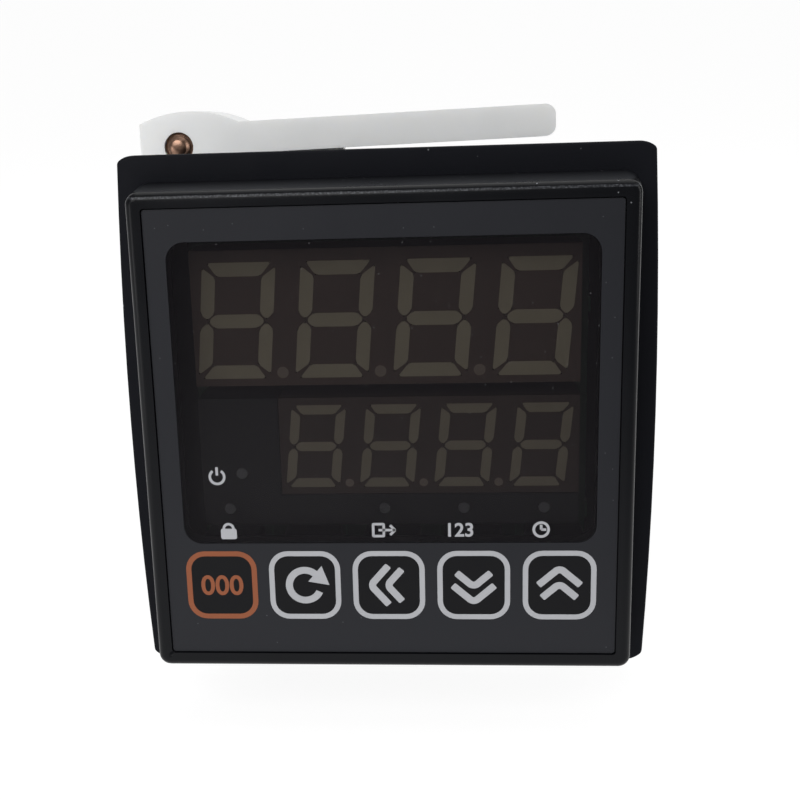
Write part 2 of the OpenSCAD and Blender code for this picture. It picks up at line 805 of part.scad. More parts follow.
module tail_board() color("#2f5d3a") difference() {
    upright_board(tail_board_y);
    tail_slots(tail_board_y - cut, tail_board_back + cut);
}

module flat_board(z) color("#2f5d3a") along_y(board_back, tail_board_y - tail_out - tail_room)
    translate([0, z]) square([tray_w, board_t], center = true);

module main_board() flat_board(main_board_z);

module power_board() flat_board(power_board_z);

// Pin headers under the ends of the flat boards, against the upright boards
module header(y, z) for (i = [0:header_pins - 1])
    along_y(y, y + header_l) translate([(i - (header_pins - 1) / 2) * header_pitch, z])
        rounded_rect(header_pitch + join, header_h, header_corner_r);

module board_headers() color("#18191b") for (y = [board_back, tail_board_y - header_l]) {
    header(y, main_board_z - board_t / 2 - header_h / 2);
    header(y, power_board_z - board_t / 2 - header_h / 2);
}

// A chip on the main board, with a row of leads on each side
module chip(x, y, w, h) {
    along_z(main_top + chip_lift, main_top + h) translate([x, y]) square([w, chip_l], center = true);
    for (i = [0:lead_count - 1])
        translate([x - w / 2 - lead_out, y + (i - (lead_count - 1) / 2) * lead_pitch - lead_w / 2, main_top])
            cube([w + 2 * lead_out, lead_w, lead_h]);
}

module processor() color("#202226")
    chip(processor_in - case_inside / 2, board_back + processor_y, processor_w, processor_h);

module driver_chips() color("#202226") for (y = driver_places)
    chip(case_inside / 2 - driver_in, board_back + y, driver_w, driver_h);

module crystal() color("#c4c6c8") along_z(main_top, main_top + crystal_size[2])
    translate([crystal_in - case_inside / 2, board_back + crystal_y])
        rounded_rect(crystal_size[0], crystal_size[1], crystal_r);

// Parts on the power board
module transformer_core() color("#6f7377") translate([core_x, board_back + core_y, power_top + core_h / 2])
    along_y(-core_t / 2, core_t / 2) difference() {
        square([core_w, core_h], center = true);
        for (side = [-1, 1])
            translate([side * (core_limb + core_window) / 2, 0])
                square([core_window, core_h - 2 * core_yoke], center = true);
    }

module transformer_coil() color("#c89b3c") translate([core_x, board_back + core_y, power_top + core_h / 2])
    along_z(-coil_h / 2, coil_h / 2) difference() {
        rounded_rect(coil_w, core_t + 2 * coil_reach, coil_corner_r);
        square([core_limb + 2 * coil_gap, core_t + 2 * coil_gap], center = true);
    }

module output_relay() color("#2d5fa0") along_z(power_top, power_top + relay_h)
    translate([relay_x, tail_board_y - relay_back - relay_l / 2])
        rounded_rect(relay_w, relay_l, relay_corner_r);

module smoothing_capacitors() color("#2c3140") for (y = capacitor_places)
    translate([capacitor_x, board_back + y, power_top]) {
        cylinder(h = capacitor_h - capacitor_edge, d = capacitor_d);
        cylinder(h = capacitor_h, d = capacitor_d - 2 * capacitor_edge);
    }

module surge_absorber() color("#3f6fae")
    translate([surge_in - case_inside / 2, tail_board_y - surge_back, power_top]) {
        along_y(-surge_t / 2, surge_t / 2) translate([0, surge_d / 2 + surge_lift]) circle(d = surge_d);
        for (side = [-1, 1])
            translate([side * surge_lead_pitch / 2, 0, 0]) cylinder(h = surge_lead_h, d = surge_lead_d);
    }

front_bezel();
overlay_film();
display_filter();
panel_gasket();
case();
terminal_block();
clamp_frame();
jack_screw();  // upper_jack_screw
rotate([0, 180, 0]) jack_screw();  // lower_jack_screw
count_display();
count_segments();
preset_display();
preset_segments();
lamp_holder();
indicator_lamps();
for (i = [0:len(key_names) - 1]) {
    key(i);
    switch_button(i);
}
switch_bodies();
display_board();
main_board();
power_board();
tail_board();
board_headers();
processor();
driver_chips();
crystal();
transformer_core();
transformer_coil();
output_relay();
smoothing_capacitors();
surge_absorber();
terminal_contacts();
terminal_washers();
terminal_screws();
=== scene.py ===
# %% [markdown]
# # A panel counter, dressed in Blender
# The counter is a small control device that is clipped into a square hole of a switch panel.
# Its solids come from the CAD model at their real size and place, and this lesson gives them
# their finishes: moulded plastics, a printed film, a smoked window, rubber, nylon and metal.
# Only what the solids lack is modelled here: soft moulded edges, blunt bar ends, prints, screw
# threads and raised numbers.

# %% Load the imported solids
import json
from math import atan2, cos, pi, radians, sin, tan

import bmesh
import bpy
from mathutils import Matrix, Vector

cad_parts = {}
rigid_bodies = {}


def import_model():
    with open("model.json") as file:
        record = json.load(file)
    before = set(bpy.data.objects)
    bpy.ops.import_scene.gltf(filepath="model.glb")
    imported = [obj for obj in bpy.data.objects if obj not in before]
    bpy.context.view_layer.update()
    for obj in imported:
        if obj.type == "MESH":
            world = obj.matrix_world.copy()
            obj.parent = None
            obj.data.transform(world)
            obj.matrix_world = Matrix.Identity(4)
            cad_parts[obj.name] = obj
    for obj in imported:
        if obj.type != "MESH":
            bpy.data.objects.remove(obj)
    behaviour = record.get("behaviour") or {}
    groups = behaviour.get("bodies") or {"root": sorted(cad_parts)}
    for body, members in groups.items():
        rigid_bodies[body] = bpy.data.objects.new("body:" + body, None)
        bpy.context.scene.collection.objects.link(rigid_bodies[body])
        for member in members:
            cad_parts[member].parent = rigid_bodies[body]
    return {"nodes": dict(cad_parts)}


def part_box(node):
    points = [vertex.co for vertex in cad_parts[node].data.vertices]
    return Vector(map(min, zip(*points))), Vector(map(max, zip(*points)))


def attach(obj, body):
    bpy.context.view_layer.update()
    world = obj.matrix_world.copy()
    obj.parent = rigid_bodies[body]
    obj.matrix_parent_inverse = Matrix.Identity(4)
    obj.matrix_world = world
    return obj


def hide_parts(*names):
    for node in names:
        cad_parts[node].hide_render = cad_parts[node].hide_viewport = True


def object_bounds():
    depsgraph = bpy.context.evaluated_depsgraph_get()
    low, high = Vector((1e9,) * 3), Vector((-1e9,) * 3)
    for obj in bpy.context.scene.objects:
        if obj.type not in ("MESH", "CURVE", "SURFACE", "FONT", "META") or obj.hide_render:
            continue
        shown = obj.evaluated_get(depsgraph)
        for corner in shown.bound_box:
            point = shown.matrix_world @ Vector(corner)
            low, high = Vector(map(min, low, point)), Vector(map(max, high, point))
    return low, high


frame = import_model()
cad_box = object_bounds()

MM = 0.001
scene = bpy.context.scene

# %% [markdown]
# ## The camera
# The photograph looks at the front from slightly right of the middle and from above, close by.
# The values below were found by fitting the frame, film, window, keys and clamp to the picture.
# The picture was cropped off-centre, so the lens is shifted instead of being tilted further.

# %% Camera
PHOTO_SIDE = 800
FOCAL_PIXELS = 1252.1
AXIS_LEFT_OF_MIDDLE = 46.7
AXIS_BELOW_MIDDLE = 49
SENSOR = 36
CAMERA_TURN = radians(5.126)
CAMERA_RISE = radians(15.083)
CAMERA_ROLL = radians(-1.854)
CAMERA_DISTANCE = 121.64 * MM
LOOKED_AT_X = -3.118 * MM
LOOKED_AT_Z = -0.948 * MM

bezel_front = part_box("front_bezel")[0][1]
looked_at = Vector((LOOKED_AT_X, bezel_front, LOOKED_AT_Z))

camera_data = bpy.data.cameras.new("camera")
camera_data.sensor_width = SENSOR
camera_data.lens = SENSOR * FOCAL_PIXELS / PHOTO_SIDE
camera_data.shift_x = AXIS_LEFT_OF_MIDDLE / PHOTO_SIDE
camera_data.shift_y = AXIS_BELOW_MIDDLE / PHOTO_SIDE
camera_data.clip_start = MM
camera = bpy.data.objects.new("camera", camera_data)
scene.collection.objects.link(camera)
facing = (Matrix.Rotation(CAMERA_TURN, 3, "Z") @ Matrix.Rotation(pi / 2 - CAMERA_RISE, 3, "X")
          @ Matrix.Rotation(CAMERA_ROLL, 3, "Z"))
camera.matrix_world = (Matrix.Translation(looked_at + facing @ Vector((0, 0, CAMERA_DISTANCE)))
                       @ facing.to_4x4())
scene.camera = camera
print("Camera at", [round(v / MM, 1) for v in camera.matrix_world.translation], "mm")

# %% [markdown]
# ## Building blocks
# Colours are written as sRGB hex values, as a colour picker shows them, and turned to linear light
# by one function. Another adds a node, sets its inputs and links it. A third gives the scale of a
# pattern from its real size, and a fourth starts a material.

# %% Colour, node, scale and material
def linear(colour):
    """Turns an sRGB hex colour into linear red, green, blue and alpha"""
    parts = [int(colour[i:i + 2], 16) / 255 for i in (1, 3, 5)]
    return [c / 12.92 if c <= 0.04045 else ((c + 0.055) / 1.055) ** 2.4 for c in parts] + [1]


def add(tree, kind, inputs, **settings):
    """Adds a node with its settings, and sets or links each named or numbered input"""
    node = tree.nodes.new(kind)
    for name, value in settings.items():
        setattr(node, name, value)
    for name, value in inputs.items():
        if isinstance(value, bpy.types.NodeSocket):
            tree.links.new(value, node.inputs[name])
        else:
            node.inputs[name].default_value = value
    return node


def every(size_mm):
    """The texture scale at which a pattern repeats about every so many millimetres"""
    return 1 / (size_mm * MM)


def start(name, colour, **fixed):
    """Starts a material and returns it with its tree, its shader and Object coordinates"""
    material = bpy.data.materials.new(name)
    material.use_nodes = True
    tree = material.node_tree
    shader = tree.nodes["Principled BSDF"]
    shader.inputs["Base Color"].default_value = linear(colour)
    for socket, value in fixed.items():
        shader.inputs[socket.replace("_", " ")].default_value = value
    place = add(tree, "ShaderNodeTexCoord", {}).outputs["Object"]
    return material, tree, shader, place


print("Helpers: linear, add, every, start")

# %% [markdown]
# No real surface has one even colour and one even gloss. Most of the materials below share three
# things: a fine relief, two close tones in soft clouds, and specks of dust. The dust could be tiny
# pieces, but thousands of them would be heavy, so dots of a cell pattern stand for it.

# %% Relief, tones and dust
GRAIN_STRENGTH = 0.5
GRAIN_DETAIL = 2.0
CLOUD_DETAIL = 4.0
CLOUD_LOW = 0.3
CLOUD_HIGH = 0.7
SPECK_CORE = 0.5


def grain(tree, shader, place, size_mm, depth_mm):
    """A fine random relief, as spark erosion leaves it in a mould"""
    noise = add(tree, "ShaderNodeTexNoise", {"Vector": place, "Scale": every(size_mm),
                                             "Detail": GRAIN_DETAIL})
    bump = add(tree, "ShaderNodeBump", {"Height": noise.outputs[0], "Distance": depth_mm * MM,
                                        "Strength": GRAIN_STRENGTH})
    tree.links.new(bump.outputs[0], shader.inputs["Normal"])


def tones(tree, shader, place, dark, light, size_mm, rough):
    """Two close tones in soft clouds, with a roughness that follows them"""
    clouds = add(tree, "ShaderNodeTexNoise", {"Vector": place, "Scale": every(size_mm),
                                              "Detail": CLOUD_DETAIL})
    mix = add(tree, "ShaderNodeMix", {0: clouds.outputs[0], 6: linear(dark), 7: linear(light)},
              data_type="RGBA")
    gloss = add(tree, "ShaderNodeMapRange", {0: clouds.outputs[0], 1: CLOUD_LOW, 2: CLOUD_HIGH,
                                             3: rough[0], 4: rough[1]})
    tree.links.new(mix.outputs[2], shader.inputs["Base Color"])
    tree.links.new(gloss.outputs[0], shader.inputs["Roughness"])
    return mix.outputs[2]


def specks(tree, shader, place, under, colour, apart_mm, size_mm, share, flat=False):
    """Dust: small pale dots in a share of the cells of a random pattern, in space or flat on the front"""
    if flat:
        place = add(tree, "ShaderNodeMapping", {"Vector": place, "Rotation": (pi / 2, 0, 0)}).outputs[0]
    cells = add(tree, "ShaderNodeTexVoronoi", {"Vector": place, "Scale": every(apart_mm)},
                voronoi_dimensions="2D" if flat else "3D")
    radius = size_mm / apart_mm
    dots = add(tree, "ShaderNodeMapRange", {0: cells.outputs[0], 1: radius, 2: radius * SPECK_CORE,
                                            3: 0.0, 4: 1.0})
    pick = add(tree, "ShaderNodeMath", {0: cells.outputs[1], 1: share}, operation="LESS_THAN")
    both = add(tree, "ShaderNodeMath", {0: dots.outputs[0], 1: pick.outputs[0]}, operation="MULTIPLY")
    mix = add(tree, "ShaderNodeMix", {0: both.outputs[0], 6: under, 7: linear(colour)}, data_type="RGBA")
    tree.links.new(mix.outputs[2], shader.inputs["Base Color"])
    return mix.outputs[2]


print("Helpers: grain, tones, specks")

# %% [markdown]
# ## The ground
# The photograph has a plain white ground. A white sheet that sweeps up behind the counter gives that
# without a horizon. It is drawn out of one edge: along the floor, round a quarter turn and up.

# %% White sheet
FLOOR_HALF = 1.2
SWEEP_BACK = 0.9
SWEEP_RADIUS = 0.5
SWEEP_STEPS = 24

floor_z = cad_box[0][2]
bm = bmesh.new()
front = [bm.verts.new((x, -FLOOR_HALF, floor_z)) for x in (-FLOOR_HALF, FLOOR_HALF)]
front_edge = bm.edges.new(front)
run = bmesh.ops.extrude_edge_only(bm, edges=[front_edge])["geom"]
far = [v for v in run if isinstance(v, bmesh.types.BMVert)]
bmesh.ops.translate(bm, verts=far, vec=(0, FLOOR_HALF + SWEEP_BACK, 0))
far_edge = [e for e in run if isinstance(e, bmesh.types.BMEdge)]
bend = bmesh.ops.spin(bm, geom=far + far_edge, cent=(0, SWEEP_BACK, floor_z + SWEEP_RADIUS),
                      axis=(1, 0, 0), angle=pi / 2, steps=SWEEP_STEPS)["geom_last"]
wall = bmesh.ops.extrude_edge_only(bm, edges=[e for e in bend if isinstance(e, bmesh.types.BMEdge)])["geom"]
bmesh.ops.translate(bm, verts=[v for v in wall if isinstance(v, bmesh.types.BMVert)], vec=(0, 0, FLOOR_HALF))
bmesh.ops.recalc_face_normals(bm, faces=bm.faces)
if max(bm.faces, key=lambda face: face.calc_area()).normal.z < 0:
    bmesh.ops.reverse_faces(bm, faces=bm.faces)
floor_mesh = bpy.data.meshes.new("white_sweep")
bm.to_mesh(floor_mesh)
bm.free()
floor_mesh.polygons.foreach_set("use_smooth", [True] * len(floor_mesh.polygons))
floor = bpy.data.objects.new("white_sweep", floor_mesh)
scene.collection.objects.link(floor)
print("Floor at", round(floor_z / MM, 2), "mm, faces:", len(floor_mesh.polygons))

# %% [markdown]
# The sheet is lit from below, as on a light table, so it stays evenly white from every side. A dark
# front would mirror it and look grey, so in reflections and as a light the sheet fades out towards the
# viewer and to the right, as a black card beside the lens would make it: the front gets darker that
# way. The Light Path node tells the two apart. From below the sheet is clear, so that the underside of
# the counter can be looked at too.

# %% Backlit paper
FADE_START = -0.03
FADE_END = -0.2
FADE_TO_RIGHT = 0.9
FLOOR_GLOW = 0.9
FLOOR_DIM = 0.16

paper, tree, shader, place = start("backlit_sheet", "#6c6c6c", Roughness=0.9)
shader.inputs["Emission Color"].default_value = linear("#ffffff")
grain(tree, shader, place, size_mm=1.5, depth_mm=0.02)
axes = add(tree, "ShaderNodeSeparateXYZ", {0: place})
lean = add(tree, "ShaderNodeMath", {0: axes.outputs["X"], 1: -FADE_TO_RIGHT, 2: axes.outputs["Y"]},
           operation="MULTIPLY_ADD")
fade = add(tree, "ShaderNodeMapRange", {0: lean.outputs[0], 1: FADE_END, 2: FADE_START, 3: FLOOR_DIM,
                                        4: FLOOR_GLOW}, interpolation_type="SMOOTHSTEP")
ray = add(tree, "ShaderNodeLightPath", {})
glow = add(tree, "ShaderNodeMix", {0: ray.outputs["Is Camera Ray"], 2: fade.outputs[0], 3: FLOOR_GLOW})
tree.links.new(glow.outputs[0], shader.inputs["Emission Strength"])
below = add(tree, "ShaderNodeNewGeometry", {}).outputs["Backfacing"]
clear = add(tree, "ShaderNodeBsdfTransparent", {})
sheet = add(tree, "ShaderNodeMixShader", {0: below, 1: shader.outputs[0], 2: clear.outputs[0]})
tree.links.new(sheet.outputs[0], tree.nodes["Material Output"].inputs["Surface"])
floor_mesh.materials.append(paper)
print("Ground:", paper.name)

# %% [markdown]
# ## Light
# The light in the photograph is soft and comes from above. Four area lights stand for soft boxes: a
# large one above the camera, a weak one close by on the left, one overhead, and a narrow one that draws
# the light line along the right edge. All look at the origin. A world that is white to look at but dim
# as a light fills the shadows.

# %% Soft boxes and world
SOFT_BOXES = {
    "key_light": {"at": (-0.2, -0.5, 0.36), "width": 0.5, "height": 0.4, "watts": 2.8},
    "left_light": {"at": (-0.2, -0.15, -0.02), "width": 0.1, "height": 0.1, "watts": 0.08},
    "top_light": {"at": (0.05, 0.12, 0.55), "width": 0.6, "height": 0.5, "watts": 1.2},
    "edge_light": {"at": (0.5, -0.05, 0.12), "width": 0.12, "height": 0.4, "watts": 0.65},
}
WORLD_LIGHT = 0.22
WORLD_SEEN = 1.0

for name, box in SOFT_BOXES.items():
    lamp = bpy.data.lights.new(name, "AREA")
    lamp.shape = "RECTANGLE"
    lamp.size = box["width"]
    lamp.size_y = box["height"]
    lamp.energy = box["watts"]
    holder = bpy.data.objects.new(name, lamp)
    scene.collection.objects.link(holder)
    at = Vector(box["at"])
    holder.matrix_world = Matrix.Translation(at) @ (-at).to_track_quat("-Z", "Y").to_matrix().to_4x4()

world = bpy.data.worlds.new("studio")
world.use_nodes = True
tree = world.node_tree
ray = add(tree, "ShaderNodeLightPath", {})
seen = add(tree, "ShaderNodeMix", {0: ray.outputs["Is Camera Ray"], 2: WORLD_LIGHT, 3: WORLD_SEEN})
tree.nodes["Background"].inputs["Color"].default_value = linear("#ffffff")
tree.links.new(seen.outputs[0], tree.nodes["Background"].inputs["Strength"])
scene.world = world
scene.view_settings.view_transform = "Standard"
print("Lights:", ", ".join(SOFT_BOXES))

# %% [markdown]
# ## Moulded plastics
# The case is ABS from a spark-eroded mould: near black, satin, with a fine grain that breaks up
# reflections. The terminal block is phenolic, a little greyer and duller. Grain finer than about
# 0.2 mm would not show, so it is drawn at that size.

# %% ABS and phenolic
abs_black, tree, shader, place = start("satin_abs", "#141517", IOR=1.53, Specular_IOR_Level=0.25)
tones(tree, shader, place, "#121315", "#16171a", size_mm=9, rough=(0.4, 0.46))
grain(tree, shader, place, size_mm=0.22, depth_mm=0.012)

phenolic, tree, shader, place = start("phenolic", "#17181a", IOR=1.6, Specular_IOR_Level=0.3)
tones(tree, shader, place, "#151618", "#202124", size_mm=3, rough=(0.5, 0.66))
grain(tree, shader, place, size_mm=0.3, depth_mm=0.02)
print("Plastics:", abs_black.name, phenolic.name)

# %% [markdown]
# ## Wear and painted light on the front frame
# The front frame is ABS too, but handled. Fine dust lies on its upper face and thins towards the seal;
# the thinning is painted shade for the seal's shadow. Specks of dust stick to it all round, and a thin
# line of scuffs over a faint painted highlight runs along its upper front edge. Object coordinates say
# where the dust and the line are, and a noise texture breaks up the line.

# %% Front frame
FRONT_HALF = 24
SCUFF_AT = 23.5
SCUFF_HALF = 0.11
SCUFF_MM = 0.24
SCUFF_FROM = 0.45
SCUFF_TO = 0.68
# The least of the edge band is a steady faint painted highlight under the scuffs
LEAST_SCUFF_AND_HIGHLIGHT = 0.1
SCUFF_MOST = 0.62
# Dust on the upper face, thinning to the back as painted shade where the seal shadows it
DUST_FRONT = 0.32
DUST_IN_SEAL_SHADE = 0.02
# Pale grey of the dust, the scuffs and the painted edge highlight
DUST_AND_HIGHLIGHT = "#5f6166"

frame_low, frame_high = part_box("front_bezel")
frame_abs, tree, shader, place = start("dusty_abs", "#0c0d10", IOR=1.53, Specular_IOR_Level=0.14)
coat = tones(tree, shader, place, "#08090c", "#0c0d11", size_mm=9, rough=(0.26, 0.34))
coat = specks(tree, shader, place, coat, "#707276", apart_mm=1.2, size_mm=0.1, share=0.6)
axes = add(tree, "ShaderNodeSeparateXYZ", {0: place})
upper = add(tree, "ShaderNodeMath", {0: axes.outputs["Z"], 1: FRONT_HALF * MM}, operation="GREATER_THAN")
# Painted shade: less dust towards the seal stands in for the seal's shadow on the upper face
dust_thinning_to_seal_shade = add(tree, "ShaderNodeMapRange", {0: axes.outputs["Y"], 1: frame_low.y, 2: frame_high.y,
                                           3: DUST_FRONT, 4: DUST_IN_SEAL_SHADE})
dust = add(tree, "ShaderNodeMath", {0: upper.outputs[0], 1: dust_thinning_to_seal_shade.outputs[0]}, operation="MULTIPLY")
dusted_and_seal_shaded = add(tree, "ShaderNodeMix", {0: dust.outputs[0], 6: coat, 7: linear(DUST_AND_HIGHLIGHT)}, data_type="RGBA")
# Scuffs over a painted highlight: a thin band on the upper front edge, broken up by noise
scuff_and_highlight_line = add(tree, "ShaderNodeMath", {0: axes.outputs["Z"], 1: SCUFF_AT * MM, 2: SCUFF_HALF * MM},
                 operation="COMPARE")
scuffs = add(tree, "ShaderNodeTexNoise", {"Vector": place, "Scale": every(SCUFF_MM),
                                          "Detail": GRAIN_DETAIL})
marks = add(tree, "ShaderNodeMapRange", {0: scuffs.outputs[0], 1: SCUFF_FROM, 2: SCUFF_TO,
                                         3: LEAST_SCUFF_AND_HIGHLIGHT, 4: SCUFF_MOST})
worn_and_highlight = add(tree, "ShaderNodeMath", {0: scuff_and_highlight_line.outputs[0], 1: marks.outputs[0]}, operation="MULTIPLY")
mix = add(tree, "ShaderNodeMix", {0: worn_and_highlight.outputs[0], 6: dusted_and_seal_shaded.outputs[2], 7: linear(DUST_AND_HIGHLIGHT)},
          data_type="RGBA")
tree.links.new(mix.outputs[2], shader.inputs["Base Color"])
grain(tree, shader, place, size_mm=0.22, depth_mm=0.014)
print("Front frame:", frame_abs.name)

# %% [markdown]
# ## Film, window and rubber
# The front is a polyester film, printed dark grey on its back and finely matt. The window is
# smoked acrylic: only a part of the light gets through, so the unlit displays show faintly.
# The seal is rubber, dull, with dust on it.

# %% Film, smoked acrylic and rubber
SMOKE = "#1c1a1d"

film_grey, tree, shader, place = start("matt_polyester", "#1b1c21", IOR=1.58, Specular_IOR_Level=0.19)
coat = tones(tree, shader, place, "#191a1f", "#1d1e23", size_mm=14, rough=(0.44, 0.52))
specks(tree, shader, place, coat, "#55575b", apart_mm=3.0, size_mm=0.06, share=0.45, flat=True)
grain(tree, shader, place, size_mm=0.25, depth_mm=0.006)

smoked, tree, shader, place = start("smoked_acrylic", SMOKE, Roughness=0.16, IOR=1.49, Alpha=0.42,
                                    Specular_IOR_Level=0.15)
specks(tree, shader, place, linear(SMOKE), "#828285", apart_mm=2.8, size_mm=0.07, share=0.45, flat=True)

rubber, tree, shader, place = start("seal_rubber", "#0b0c0f", IOR=1.52, Specular_IOR_Level=0.07)
coat = tones(tree, shader, place, "#0e0f14", "#131419", size_mm=5, rough=(0.55, 0.72))
specks(tree, shader, place, coat, "#7e7f82", apart_mm=1.4, size_mm=0.14, share=0.7)
grain(tree, shader, place, size_mm=0.4, depth_mm=0.02)
print("Film, window and seal:", film_grey.name, smoked.name, rubber.name)

# %% [markdown]
# ## Nylon
# The clamp frame is natural nylon: milky white and slightly translucent, so light spreads inside
# it and its shadows stay soft. Subsurface scattering over about a millimetre gives that look.

# %% Nylon
SCATTER_MM = 1.2
SCATTER_TINT = (1.0, 0.95, 0.85)

nylon, tree, shader, place = start("natural_nylon", "#e9eaea", IOR=1.53, Subsurface_Weight=0.35,
                                   Subsurface_Scale=SCATTER_MM * MM, Subsurface_Radius=SCATTER_TINT)
tones(tree, shader, place, "#e5e6e6", "#edeeee", size_mm=6, rough=(0.38, 0.5))
grain(tree, shader, place, size_mm=0.5, depth_mm=0.02)
print("Clamp frame:", nylon.name)

# %% [markdown]
# ## Metals
# The jack screws are turned brass that has browned to a copper colour. The terminal screws and washers
# are nickel plated, and the contacts are stamped brass. Each has patches of two tones and the fine
# marks of its making.

# %% Plated and bare metals
MARK_MM = 0.25
MARK_DEPTH = 0.01


def metal(name, dark, light, patch_mm, rough):
    """A plated or bare metal with patches of two tones and fine marks of its making"""
    material, tree, shader, place = start(name, light, Metallic=1.0)
    tones(tree, shader, place, dark, light, patch_mm, rough)
    grain(tree, shader, place, MARK_MM, MARK_DEPTH)
    return material


browned = metal("browned_brass", "#6b5042", "#9d806e", patch_mm=0.8, rough=(0.24, 0.42))
nickel = metal("nickel_plate", "#b9bab8", "#d6d7d4", patch_mm=1.5, rough=(0.22, 0.36))
brass = metal("stamped_brass", "#b59a5e", "#d2b878", patch_mm=2.0, rough=(0.25, 0.4))
print("Metals:", browned.name, nickel.name, brass.name)

# %% [markdown]
# The core of the transformer is a stack of thin sheets and its coil is wound wire under tape: a wave
# texture gives both their even lines. Its bands are a tenth of pi apart at a scale of 1.

# %% Transformer
WAVE = pi / 10
SHEET_MM = 0.5
SHEET_GROOVE = 0.05
WIRE_MM = 0.35
WIRE_GROOVE = 0.1

core_steel, tree, shader, place = start("stacked_sheets", "#6d7174", Metallic=1.0, Roughness=0.45)
sheets = add(tree, "ShaderNodeTexWave", {"Vector": place, "Scale": every(SHEET_MM) * WAVE},
             bands_direction="Y")
bump = add(tree, "ShaderNodeBump", {"Height": sheets.outputs[1], "Distance": SHEET_GROOVE * MM})
tree.links.new(bump.outputs[0], shader.inputs["Normal"])

wire, tree, shader, place = start("taped_winding", "#b88a3a", Roughness=0.35)
turns = add(tree, "ShaderNodeTexWave", {"Vector": place, "Scale": every(WIRE_MM) * WAVE},
            bands_direction="Z")
bump = add(tree, "ShaderNodeBump", {"Height": turns.outputs[1], "Distance": WIRE_GROOVE * MM})
tree.links.new(bump.outputs[0], shader.inputs["Normal"])
print("Transformer:", core_steel.name, wire.name)

# %% [markdown]
# ## Displays and inner parts
# An unlit LED display is a brown-black body with milky warm grey bars. Behind the smoked window
# they turn to dim shapes. The lower display is a little darker: its resins are darker copies of the
# upper ones, as painted shade. The decimal points are a little darker too.
# The boards and parts inside show only through the vents.

# %% Displays and inner parts
MOULD_MM = 0.3
MOULD_DEPTH = 0.012
TRACK_MM = 4


def moulded(name, dark, light, rough, patch_mm=4, **fixed):
    """A small moulded or cast part, or a print, in two close tones"""
    material, tree, shader, place = start(name, light, **fixed)
    tones(tree, shader, place, dark, light, patch_mm, rough)
    grain(tree, shader, place, MOULD_MM, MOULD_DEPTH)
    return material


display_face = moulded("display_resin", "#4d3d36", "#5a483f", rough=(0.5, 0.62))
# Painted shade: the lower display gets a darker copy of the upper display's body resin
shaded_lower_face = moulded("lower_display_resin_shaded", "#3f312b", "#4b3c34", rough=(0.5, 0.62))
bar_resin = moulded("segment_resin", "#a0967f", "#aba18a", rough=(0.35, 0.5), patch_mm=2)
# Painted shade: a darker copy of the segment resin for the lower display
shaded_lower_bar_resin = moulded("lower_segment_resin_shaded", "#908672", "#9a907c", rough=(0.35, 0.5), patch_mm=2)
point_resin = moulded("point_resin", "#84766a", "#8c7e71", rough=(0.35, 0.5), patch_mm=2)
lamp_resin = moulded("lamp_resin", "#626264", "#6e6e70", rough=(0.25, 0.4), patch_mm=1)
key_plastic = moulded("key_plastic", "#2e3033", "#36383b", rough=(0.4, 0.55))
holder_plastic = moulded("lamp_holder_plastic", "#0c0c0e", "#101012", rough=(0.5, 0.62))
switch_plastic = moulded("switch_plastic", "#1a1a1c", "#242427", rough=(0.45, 0.6))
chip_epoxy = moulded("chip_epoxy", "#1b1c1e", "#26272a", rough=(0.5, 0.65))
relay_plastic = moulded("relay_case", "#22518e", "#2c60a2", rough=(0.25, 0.35))
sleeve = moulded("capacitor_sleeve", "#20242f", "#2a2f3d", rough=(0.2, 0.3))

solder_mask, tree, shader, place = start("solder_mask", "#1f4a2c", Roughness=0.32, IOR=1.55)
tracks = add(tree, "ShaderNodeTexBrick", {"Vector": place, "Scale": every(TRACK_MM),
                                          "Color1": linear("#1f4a2c"), "Color2": linear("#265634"),
                                          "Mortar": linear("#2f6a40")})
tree.links.new(tracks.outputs[0], shader.inputs["Base Color"])
print("Inner parts:", display_face.name, bar_resin.name, lamp_resin.name, solder_mask.name)

# %% [markdown]
# ## Dressing the solids
# Each solid that is already right keeps its mesh and only gets its material.

# %% Materials of the solids
KEYS = ("reset", "mode", "shift", "down", "up")
FINISHES = {
    abs_black: ["case"], frame_abs: ["front_bezel"], film_grey: ["overlay_film"], smoked: ["display_filter"],
    rubber: ["panel_gasket"], phenolic: ["terminal_block"], nylon: ["clamp_frame"],
    browned: ["upper_jack_screw", "lower_jack_screw"],
    display_face: ["count_display"], bar_resin: ["count_segments"],
    shaded_lower_face: ["preset_display"], shaded_lower_bar_resin: ["preset_segments"],
    lamp_resin: ["indicator_lamps"], key_plastic: [key + "_key" for key in KEYS],
    holder_plastic: ["lamp_holder"],
    switch_plastic: ["switch_bodies", "board_headers"] + [key + "_button" for key in KEYS],
    solder_mask: ["display_board", "main_board", "power_board", "tail_board"],
    chip_epoxy: ["processor", "driver_chips"], nickel: ["crystal", "terminal_washers", "terminal_screws"],
    core_steel: ["transformer_core"], wire: ["transformer_coil"], sleeve: ["smoothing_capacitors"],
    relay_plastic: ["output_relay", "surge_absorber"], brass: ["terminal_contacts"],
}
for material, nodes in FINISHES.items():
    for name in nodes:
        frame["nodes"][name].material_slots[0].material = material
print("Dressed:", sum(len(nodes) for nodes in FINISHES.values()), "nodes")

# %% [markdown]
# ## Soft moulded edges
# No moulded edge is knife sharp, and the light line along a small radius is what tells the eye
# that a thing is plastic. A copy of the solid is merged from its loose triangles, its flat faces are
# joined, and its long outer edges get a bevel. The copy then stands for the solid.

# %% Soft edges
SHARP = radians(35)
FLAT_WITHIN = radians(0.5)
TINY = 0.001 * MM
EDGE_SEGMENTS = 3


